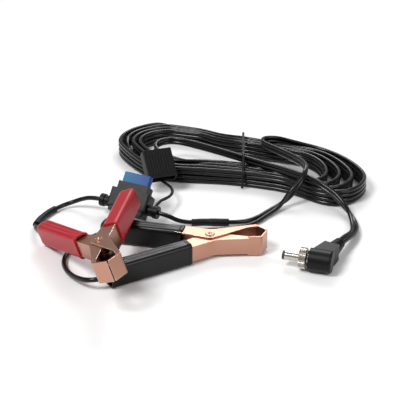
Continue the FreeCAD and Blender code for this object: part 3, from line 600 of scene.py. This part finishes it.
@dataclass
class Grip:
    """A dipped vinyl grip on one handle, with lengthwise ridges on one of its faces."""

    node: str
    look: Look
    side: int
    ridged: Face = Face.TOP
    hollow: bool = False
    corner: float = 2.6
    wall: float = 0.9
    ridge: float = 0.32
    pitch: float = 2.7
    end_length: float = 4.6

    def outline(self, low: Vector, high: Vector, ridge: float) -> list[tuple[float, float]]:
        """A rounded rectangle with optional ridges.

        Args:
            low: the smallest height and width.
            high: the largest height and width.
            ridge: how deep the grooves are.

        Returns:
            Height and width of each corner, in millimetres.
        """
        half = (high - low) / 2
        middle = (high + low) / 2
        corner = min(self.corner, 0.8 * min(half.x, half.y))
        signs = ((1, 1), (-1, 1), (-1, -1), (1, -1))
        ways = ((-1, 0), (0, -1), (1, 0), (0, 1))
        spots: list[tuple[float, float]] = []
        for turn, ((sx, sy), (dx, dy)) in enumerate(zip(signs, ways)):
            centre = (sx * (half.x - corner), sy * (half.y - corner))
            for i in range(ARC_STEPS + 1):
                angle = math.pi / 2 * (turn + i / ARC_STEPS)
                spots.append((centre[0] + corner * math.cos(angle), centre[1] + corner * math.sin(angle)))
            x, y = spots[-1]
            span = 2 * (half.x if turn % 2 == 0 else half.y) - 2 * corner
            depth = ridge if turn == self.ridged.value else 0.0
            for i in range(1, SIDE_STEPS):
                step = span * i / SIDE_STEPS
                groove = depth * (0.5 - 0.5 * math.cos(2 * math.pi * step / self.pitch))
                spots.append((x + dx * step - dy * groove, y + dy * step + dx * groove))
        return [(x + middle.x, y + middle.y) for x, y in spots]

    def build(self, place: Matrix, slope: float) -> bpy.types.Object:
        """Makes the grip.

        Args:
            place: the clamp's own axes.
            slope: the handle's angle from the jaws, in degrees.

        Returns:
            The grip, riding on its lever's body.
        """
        tilt = math.radians(slope)
        along = Vector((-math.cos(tilt), self.side * math.sin(tilt), 0))
        out = Vector((math.sin(tilt), self.side * math.cos(tilt), 0))
        handle = place @ axes(along, out, Vector((0, 0, 1)), Vector())
        spots = [handle.inverted() @ v.co / MM for v in frame["nodes"][self.node].data.vertices]
        start, end = min(p.x for p in spots), max(p.x for p in spots)

        def reach(first: float, last: float) -> tuple[Vector, Vector]:
            near = [p for p in spots if first <= p.x <= last]
            return (Vector((min(p.y for p in near), min(p.z for p in near))),
                    Vector((max(p.y for p in near), max(p.z for p in near))))

        mouth, far = reach(start, start + 1.0), reach(end - 8.0, end)
        rings: list[list[tuple[float, float, float]]] = []

        def ring(x: float, shrink: float, ridge: float, inset: float = 0.0) -> None:
            share = (x - start) / (end - start)
            low, high = (a.lerp(b, share) for a, b in zip(mouth, far))
            middle, half = (low + high) / 2, (high - low) / 2
            half = half * shrink - Vector((inset, inset))
            rings.append([(x, y, z) for y, z in self.outline(middle - half, middle + half, ridge)])

        ring(start + 4.0, 1.0, 0.0, self.wall)
        ring(start, 1.0, 0.0, self.wall)
        ring(start, 1.0, 0.0, 0.15)
        ring(start + 0.5, 1.02, 0.0)
        ring(start + 1.6, 1.02, 0.0)
        ring(start + 2.4, 0.985, 0.0)
        steps = 22
        for i in range(steps + 1):
            x = start + 3.0 + (end - self.end_length - start - 3.0) * i / steps
            ring(x, 0.985, self.ridge * min(1.0, max(0.0, i - 1) / 4, (steps - i) / 4))
        if self.hollow:
            ring(end - 0.2, 0.985, 0.0)
            ring(end, 0.97, 0.0)
            ring(end, 0.97, 0.0, self.wall)
            ring(end - 6.0, 0.97, 0.0, self.wall)
        else:
            for i in range(1, 7):
                angle = math.pi / 2 * i / 6.4
                ring(end - self.end_length * (1 - math.sin(angle)), 0.985 * (0.5 + 0.5 * math.cos(angle)), 0.0)
        count = len(rings[0])
        points = [handle @ (Vector(p) * MM) for r in rings for p in r]
        faces = [(i * count + j, i * count + (j + 1) % count, (i + 1) * count + (j + 1) % count, (i + 1) * count + j)
                 for i in range(len(rings) - 1) for j in range(count)]
        last = (len(rings) - 1) * count
        faces += [tuple(range(count)), tuple(range(last, last + count))]
        made = piece(f"{self.node}_visual", points, faces, self.look, GRIP_SHARP_ANGLE)
        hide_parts(self.node)
        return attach(made, body_of(self.node))


@dataclass
class Clamp:
    """A stamped spring clamp. Its own axes are the jaws along X and the rivet along Z."""

    name: str
    pivot: Vector
    forward: Vector
    normal: Vector
    grips: list[Grip]
    wire: float = 1.5
    coil_radius: float = 3.05
    turns: int = 5
    leg: float = 22.0
    slope: float = 22.75
    place: Matrix = field(init=False)

    def __post_init__(self) -> None:
        side = self.normal.cross(self.forward).normalized()
        self.place = axes(self.forward.normalized(), side, self.normal.normalized(), self.pivot)

    def build(self) -> None:
        """Makes the levers, rivet, grips, crimp and spring."""
        # The levers' rounded edges carry a painted highlight.
        for lever in ("outer_lever", "inner_lever"):
            softened(f"{self.name}_{lever}", Look.COPPER_PLATE, 0.16, Look.PAINTED_EDGE_HIGHLIGHT)
        softened(f"{self.name}_rivet", Look.RIVET_STEEL, 0.12)
        softened(f"{self.name}_crimp", Look.COPPER_PLATE, 0.08)
        softened(f"{self.name}_lead_tail", Look.LEAD_VINYL, 0.05)
        for grip in self.grips:
            grip.build(self.place, self.slope)
        self.spring()

    def spring(self) -> None:
        """Makes the torsion spring: a coil on the rivet and a leg along each handle."""
        tree = Repeats(f"{self.name}_coil")
        turns = tree.value("Turns", "NodeSocketFloat", float(self.turns))
        radius = tree.value("Radius", "NodeSocketFloat", self.coil_radius * MM)
        height = tree.value("Height", "NodeSocketFloat", self.turns * self.wire * MM)
        spiral = tree.node("GeometryNodeCurveSpiral", {
            "Resolution": 28, "Rotations": turns, "Start Radius": radius, "End Radius": radius, "Height": height})
        profile = tree.node("GeometryNodeCurvePrimitiveCircle", {"Resolution": 10, "Radius": self.wire / 2 * MM})
        coil = tree.node("GeometryNodeCurveToMesh", {"Curve": spiral, "Profile Curve": profile})
        middle = self.place @ Matrix.Translation((0, 0, -self.turns * self.wire / 2 * MM))
        made = tree.bake(f"{self.name}_spring_coil", coil, Look.SPRING_STEEL, middle)
        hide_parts(f"{self.name}_spring")
        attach(made, "root")
        tilt = math.radians(self.slope)
        for lever, side in (("outer_lever", 1), ("inner_lever", -1)):
            level = side * (self.turns - 1) * self.wire / 2
            start = Vector((math.sin(tilt), side * math.cos(tilt), 0)) * self.coil_radius
            run = Vector((-math.cos(tilt), side * math.sin(tilt), 0)) * self.leg
            ends = [start + Vector((0, 0, level)), start + run * 0.5 + Vector((0, 0, level)), start + run
                    + Vector((0, 0, level))]
            path = nurbs([self.place @ (p * MM) for p in ends])
            leg = sweep(f"{self.name}_spring_leg_{lever}", path, circle(self.wire / 2 * MM, 10), Look.SPRING_STEEL)
            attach(leg, body_of(f"{self.name}_{lever}"))


# ---------------------------------------------------------------- fuse, plug and tie


@dataclass
class FuseHolder:
    """The inline holder, its boots, the blade fuse and the cap."""

    finishes: dict[str, tuple[Look, float]] = field(default_factory=lambda: {
        "fuse_holder_base": (Look.HOLDER_PLASTIC, 0.3), "fuse_holder_body": (Look.HOLDER_PLASTIC, 0.3),
        "left_wire_boot": (Look.BOOT_RUBBER, 0.25), "right_wire_boot": (Look.BOOT_RUBBER, 0.25),
        "left_terminal": (Look.BRASS_TERMINAL, 0.06), "right_terminal": (Look.BRASS_TERMINAL, 0.06),
        "fuse_head": (Look.FUSE_BLUE, 0.3), "fuse_element": (Look.FUSE_METAL, 0.05),
        "fuse_cap": (Look.CAP_RUBBER, 0.18),
    })

    def build(self) -> None:
        """Makes every piece of the holder."""
        for node, (look, bevel) in self.finishes.items():
            softened(node, look, bevel)


@dataclass
class Plug:
    """The right-angle plug and its knurled nut."""

    centre: Vector
    heading: float
    nut_radius: float = 6.15
    nut_back: float = 1.4
    nut_long: float = 4.6
    teeth: int = 44
    pieces: list[bpy.types.Object] = field(default_factory=list)

    def build(self) -> None:
        """Makes the moulding, the plated parts and the nut."""
        for node, look, bevel in (
            ("plug_body", Look.PLUG_BLACK, 0.5), ("plug_strain_relief", Look.PLUG_BLACK, 0.12),
            ("plug_neck", Look.PLUG_NICKEL, 0.08), ("plug_barrel", Look.PLUG_NICKEL, 0.06),
            ("plug_insulator", Look.PLUG_INSULATION, 0.1), ("plug_contact", Look.PLUG_NICKEL, 0.05),
            ("lock_nut", Look.PLUG_NICKEL, 0.15),
        ):
            self.pieces.append(softened(node, look, bevel))
        self.pieces.append(self.knurl())

    def knurl(self) -> bpy.types.Object:
        """Makes the ridges round the nut.

        Returns:
            The ring of ridges, which turns with the nut.
        """
        tree = Repeats("nut_knurl")
        count = tree.value("Count", "NodeSocketInt", self.teeth)
        radius = tree.value("Radius", "NodeSocketFloat", self.nut_radius * MM)
        ring = tree.node("GeometryNodeMeshCircle", {"Vertices": count, "Radius": radius})
        turn = tree.node("ShaderNodeMath", {0: tree.node("GeometryNodeInputIndex", {}), 1: 2 * math.pi / self.teeth},
                         operation="MULTIPLY")
        turned = tree.node("ShaderNodeMath", {0: turn, 1: math.pi / 4}, operation="ADD")
        rotation = tree.node("ShaderNodeCombineXYZ", {"Z": turned})
        tooth = tree.node("GeometryNodeMeshCube", {"Size": (0.42 * MM, 0.42 * MM, (self.nut_long - 0.7) * MM)})
        teeth = tree.node("GeometryNodeInstanceOnPoints", {"Points": ring, "Instance": tooth, "Rotation": rotation})
        out = Vector((math.cos(self.heading), math.sin(self.heading), 0))
        middle = self.centre + out * (self.nut_back + self.nut_long / 2) * MM
        made = tree.bake("lock_nut_knurl", teeth, Look.PLUG_NICKEL, axes(out.cross(UP), UP, out, middle))
        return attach(made, body_of("lock_nut"))


# ---------------------------------------------------------------- cords


RED_LEAD = [
    (-65.8, -19.7, 10.2), (-72.2, -17.1, 10.3), (-79.5, -13.0, 7.2), (-87.5, -11.6, 3.6), (-95.0, -15.8, 2.5),
    (-101.5, -25.0, 2.5), (-105.3, -36.5, 2.5), (-106.0, -47.5, 3.9), (-102.9, -56.1, 5.6), (-98.8, -61.7, 6.9),
]
FUSE_LEAD = [
    (-27.1, -35.8, 7.9), (-21.6, -38.1, 7.5), (-14.8, -39.4, 4.2), (-7.0, -38.6, 2.4), (2.5, -37.6, 2.5),
    (13.5, -38.5, 2.5), (24.0, -37.9, 2.2), (33.2, -34.6, 1.7), (39.8, -28.5, 2.0),
]
BLACK_LEAD = [
    (-52.2, -116.2, 7.3), (-58.1, -119.8, 7.3), (-64.9, -119.0, 6.2), (-70.8, -113.3, 4.1), (-75.8, -106.2, 2.3),
    (-80.4, -97.8, 1.6), (-82.8, -88.3, 1.6), (-81.8, -78.6, 1.6), (-77.6, -68.9, 1.6), (-71.2, -59.4, 1.6),
    (-63.0, -51.6, 1.6), (-52.4, -47.6, 1.6), (-39.0, -48.4, 1.6), (-24.0, -49.4, 1.6), (-8.0, -48.2, 1.6),
    (8.0, -47.4, 1.6), (22.0, -45.9, 1.6), (32.6, -41.0, 1.6), (38.6, -35.2, 1.8), (42.2, -30.5, 2.0),
]
CAP_STRAP = [
    (-29.2, -33.9, 11.2), (-26.8, -28.2, 12.6), (-23.2, -21.0, 11.0), (-19.6, -12.8, 9.4), (-18.4, -4.6, 8.9),
    (-20.4, 3.2, 8.8), (-24.2, 9.2, 8.6), (-27.6, 13.8, 8.9),
]
TWIN_FEED = [
    (41.0, -29.5, 2.1), (47.3, -21.6, 2.1), (53.8, -14.9, 3.4), (60.0, -10.0, 7.6), (65.6, -6.6, 13.4),
    (70.4, -1.4, 18.6), (73.2, 6.4, 20.6), (72.4, 15.4, 20.0), (69.0, 27.0, 18.4), (61.5, 41.0, 17.2),
    (53.0, 53.0, 16.6), (46.2, 61.5, 16.4), (47.0, 70.0, 16.4), (57.0, 73.0, 15.6), (68.0, 71.5, 13.2),
]
DIAGONAL = [
    (-30.0, 50.0, 13.5), (-33.5, 58.5, 15.5), (-29.5, 67.5, 15.6), (-19.0, 71.5, 15.6), (0.0, 59.6, 15.6),
    (21.7, 43.6, 15.6), (42.5, 26.5, 15.6), (62.5, 12.6, 15.6), (78.0, -1.5, 15.0),
]
TWIN_TAIL = [
    (84.5, -8.5, 13.2), (90.6, -13.4, 10.4), (96.4, -20.2, 6.0), (99.8, -28.8, 2.9), (100.6, -38.8, 2.1),
    (99.6, -49.0, 2.6), (96.4, -58.8, 4.6), (91.3, -67.0, 6.6), (86.6, -74.4, 7.1),
]


START_TILTS = [0.0, 0.0, 0.5]
END_TILTS = [1.3, 0.9, 0.4, 0.0, 0.0, 0.0, 0.0]
TIE = [
    (29.6, 17.0, 1.2), (30.6, 17.6, 9.0), (30.6, 20.5, 13.6), (30.8, 28.0, 16.4), (31.0, 35.5, 19.7),
    (31.2, 44.0, 19.0), (31.8, 56.0, 18.4), (32.4, 72.0, 18.0), (33.0, 85.5, 16.6), (33.2, 89.6, 9.0),
    (33.0, 86.0, 1.4), (31.5, 52.0, 1.0), (30.0, 20.0, 1.0),
]


@dataclass
class Lead:
    """One round free cord."""

    node: str
    route: list[Point]
    diameter: float
    look: Look = Look.LEAD_VINYL
    sleeve: Optional[tuple[str, float, float]] = None
    sleeve_radius: float = 2.4
    sleeve_narrow: float = 0.9
    step_at: float = 0.46
    step_long: float = 0.08
    crosses: Optional[tuple[int, int]] = None

    def build(self) -> None:
        path = nurbs(map(at, self.route))
        cord = sweep(f"{self.node}_visual", path, circle(self.diameter / 2 * MM), self.look)
        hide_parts(self.node)
        parts = [cord]
        if self.sleeve:
            node, start, end = self.sleeve
            stretch = path[int(start * len(path)):int(end * len(path))]
            steps = len(stretch)
            rises = (min(1.0, max(0.0, i / steps - self.step_at) / self.step_long) for i in range(steps))
            scales = [self.sleeve_narrow + (1 - self.sleeve_narrow) * rise for rise in rises]
            sleeve = sweep(f"{node}_visual", stretch, circle(self.sleeve_radius * MM), Look.HEAT_SHRINK, scales=scales)
            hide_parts(node)
            parts.append(sleeve)
        for part in parts:
            if self.crosses:
                start, end = (at(self.route[i]) for i in self.crosses)
                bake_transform(part)
            else:
                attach(part, "root")
        at(self.route[0])
        LOG.info("%s: %.1f mm long", self.node, length(path) / MM)


@dataclass(frozen=True)
class Station:
    """A cut across the hank: where its outermost and innermost strands lie, and how far it is lifted."""

    outer: tuple[float, float]
    inner: tuple[float, float]
    lift: float = 0.0


STATIONS = [
    Station((75, 71.5), (71, 60), 0.5), Station((95, 62), (84, 50)), Station((110, 41), (89, 36)),
    Station((117, 18), (89.5, 24)), Station((110, 0), (87, 14.5)), Station((98, -10.5), (80.5, 9.5)),
    Station((84, -8.5), (73, 10)), Station((72.5, 1.5), (65, 17)), Station((59, 13), (56, 27)),
    Station((44, 18.5), (43, 32.5)), Station((28.5, 23), (29, 36.5)), Station((14, 25.5), (14, 40.5)),
    Station((0, 27.5), (0, 42.5)), Station((-21, 30), (-15, 43)), Station((-35.5, 35), (-27, 46.5)),
    Station((-46.5, 48.5), (-35.5, 56)), Station((-57.5, 69.5), (-43, 71)), Station((-61.5, 82), (-46, 82)),
    Station((-58, 98), (-43.5, 92)), Station((-47.5, 110), (-36, 98.5)), Station((-30.5, 119), (-24, 103)),
    Station((-14, 113.5), (-9, 98)), Station((4, 107), (2, 94)), Station((20, 95.5), (13, 84)),
    Station((37, 83), (31, 71), 3.0), Station((56, 77), (52, 65), 1.5),
]


@dataclass
class TwinCord:
    """The long flat cord: feed, hank and tail in one run."""

    plug: Plug
    core_radius: float = 1.5
    core_offset: float = 1.45
    rows: tuple[float, float] = (3.1, 9.3)
    order: tuple[tuple[int, int], ...] = ((3, 1), (3, 0), (2, 0), (2, 1), (1, 1), (1, 0), (0, 0), (0, 1))
    first_move: int = 9
    leaves_at: int = 14

    def strand(self, turn: int, index: int) -> Point:
        """Where one turn crosses one station.

        Args:
            turn: the turn's number.
            index: the station's number.

        Returns:
            The point, in drawing millimetres.
        """
        last = len(self.order) - 1
        moved = turn < last and index >= self.first_move + 2 * (last - 1 - turn)
        column, row = self.order[turn + int(moved)]
        station = STATIONS[index]
        share = column / 3
        wander = 0.35 * math.sin(1.7 * index + 2.3 * turn)
        x, y = (i + (o - i) * share + wander for i, o in zip(station.inner, station.outer))
        return x, y, self.rows[row] + station.lift

    def build(self) -> None:
        full = range(len(self.order) - 1)
        turns = [self.strand(turn, index) for turn in full for index in range(len(STATIONS))][1:]
        turns += [self.strand(len(full), index) for index in range(self.leaves_at)]
        route = [*TWIN_FEED, *turns, *DIAGONAL, *TWIN_TAIL]
        edgewise = len(route) - len(START_TILTS) - len(END_TILTS)
        flat = [*START_TILTS, *[math.pi / 2] * edgewise, *END_TILTS]
        path = nurbs(map(at, route))
        tilts = [p.x for p in nurbs((t, 0.0, 0.0) for t in flat)]
        section = twin_section(self.core_radius * MM, self.core_offset * MM)
        cord = sweep("twin_cord", path, section, Look.LEAD_VINYL, tilts=tilts)
        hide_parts("twin_feed", "cord_hank", "twin_tail")
        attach(cord, "root")
        loop = nurbs(map(at, TIE), 10)
        tie = sweep("hank_tie_visual", loop, circle(0.9 * MM, 10), Look.TIE_VINYL)
        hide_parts("hank_tie")
        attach(tie, "root")
        LOG.info("twin cord: %.1f mm long", length(path) / MM)


# ---------------------------------------------------------------- setting


@dataclass
class Studio:
    """The floor, lights and camera."""

    camera_at: Point = (0.03005, -0.53368, 0.28682)
    camera_tilt: float = 64.2
    lens: float = 86.0

    def floor(self) -> None:
        """Makes the pale floor."""
        mesh = bpy.data.meshes.new("floor")
        mesh.from_pydata([(-4, -4, 0), (4, -4, 0), (4, 4, 0), (-4, 4, 0)], [], [(0, 1, 2, 3)])
        made = bpy.data.objects.new("floor", mesh)
        bpy.context.scene.collection.objects.link(made)
        graph = Graph("floor")
        graph.shader.inputs["Base Color"].default_value = (0.9, 0.9, 0.9, 1.0)
        graph.shader.inputs["Roughness"].default_value = 0.8
        mesh.materials.append(graph.material)

    def light(self, name: str, place: Point, size: float, power: float) -> None:
        """Adds a soft light that faces the lead.

        Args:
            name: the light's name.
            place: where it hangs.
            size: its side.
            power: in watts.
        """
        data = bpy.data.lights.new(name, "AREA")
        data.size = size
        data.energy = power
        made = bpy.data.objects.new(name, data)
        made.location = place
        made.rotation_euler = (Vector((0.03, 0.03, 0.0)) - Vector(place)).to_track_quat("-Z", "Y").to_euler()
        bpy.context.scene.collection.objects.link(made)

    def world(self) -> None:
        """Sets an even pale surrounding that the camera sees as white."""
        world = bpy.data.worlds.new("surround")
        world.use_nodes = True
        tree = world.node_tree
        ground = next(n for n in tree.nodes if n.type == "BACKGROUND")
        out = next(n for n in tree.nodes if n.type == "OUTPUT_WORLD")
        ground.inputs["Color"].default_value = (1.0, 1.0, 1.0, 1.0)
        ground.inputs["Strength"].default_value = 0.34
        seen = tree.nodes.new("ShaderNodeBackground")
        seen.inputs["Strength"].default_value = 1.0
        rays = tree.nodes.new("ShaderNodeLightPath")
        mixed = tree.nodes.new("ShaderNodeMixShader")
        tree.links.new(rays.outputs["Is Camera Ray"], mixed.inputs[0])
        tree.links.new(ground.outputs[0], mixed.inputs[1])
        tree.links.new(seen.outputs[0], mixed.inputs[2])
        tree.links.new(mixed.outputs[0], out.inputs["Surface"])
        bpy.context.scene.world = world

    def build(self) -> None:
        """Makes the whole setting."""
        self.floor()
        self.world()
        self.light("key", (-0.5, -0.35, 0.9), 0.35, 8.0)
        self.light("fill", (0.7, -0.5, 0.6), 0.5, 2.6)
        self.light("rear", (0.1, 0.8, 0.7), 0.45, 4.4)
        data = bpy.data.cameras.new("camera")
        data.lens = self.lens
        data.sensor_width = 36.0
        camera = bpy.data.objects.new("camera", data)
        camera.location = self.camera_at
        camera.rotation_euler = (math.radians(self.camera_tilt), 0.0, 0.0)
        bpy.context.scene.collection.objects.link(camera)
        bpy.context.scene.camera = camera
        bpy.context.scene.view_settings.view_transform = "Standard"


def joint(name: str) -> Vector:
    """Where a joint's axis passes.

    Args:
        name: the joint's name.

    Returns:
        The point in the row frame.
    """
    return Vector(next(j for j in frame["joints"] if j["name"] == name)["pos_m"])


def main() -> None:
    """Builds the lead and its setting."""
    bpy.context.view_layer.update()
    yaw = math.radians(9.1)
    Clamp("black", joint("black_jaw_hinge"), Vector((math.cos(yaw), math.sin(yaw), 0)), UP,
          [Grip("black_rear_grip", Look.BLACK_VINYL, 1),
           Grip("black_front_grip", Look.BLACK_VINYL, -1, hollow=True)]).build()
    Clamp("red", joint("red_jaw_hinge"), Vector((0.23232, -0.96209, 0.14285)),
          Vector((-0.30840, 0.06643, 0.94893)),
          [Grip("red_left_grip", Look.RED_VINYL, -1),
           Grip("red_right_grip", Look.RED_VINYL, 1, ridged=Face.INNER)]).build()
    FuseHolder().build()
    plug = Plug(at((65.3, -95.6, 7.1)), math.radians(161.0))
    plug.build()
    Lead("red_lead", RED_LEAD, 3.0, sleeve=("red_lead_shrink", 0.48, 0.78), crosses=(5, 8)).build()
    Lead("fuse_lead", FUSE_LEAD, 3.0, sleeve=("splice_shrink", 0.38, 0.72)).build()
    Lead("black_lead", BLACK_LEAD, 3.0).build()
    Lead("cap_strap", CAP_STRAP, 2.0, look=Look.CAP_RUBBER).build()
    TwinCord(plug).build()
    Studio().build()


if __name__ == "__main__":
    main()
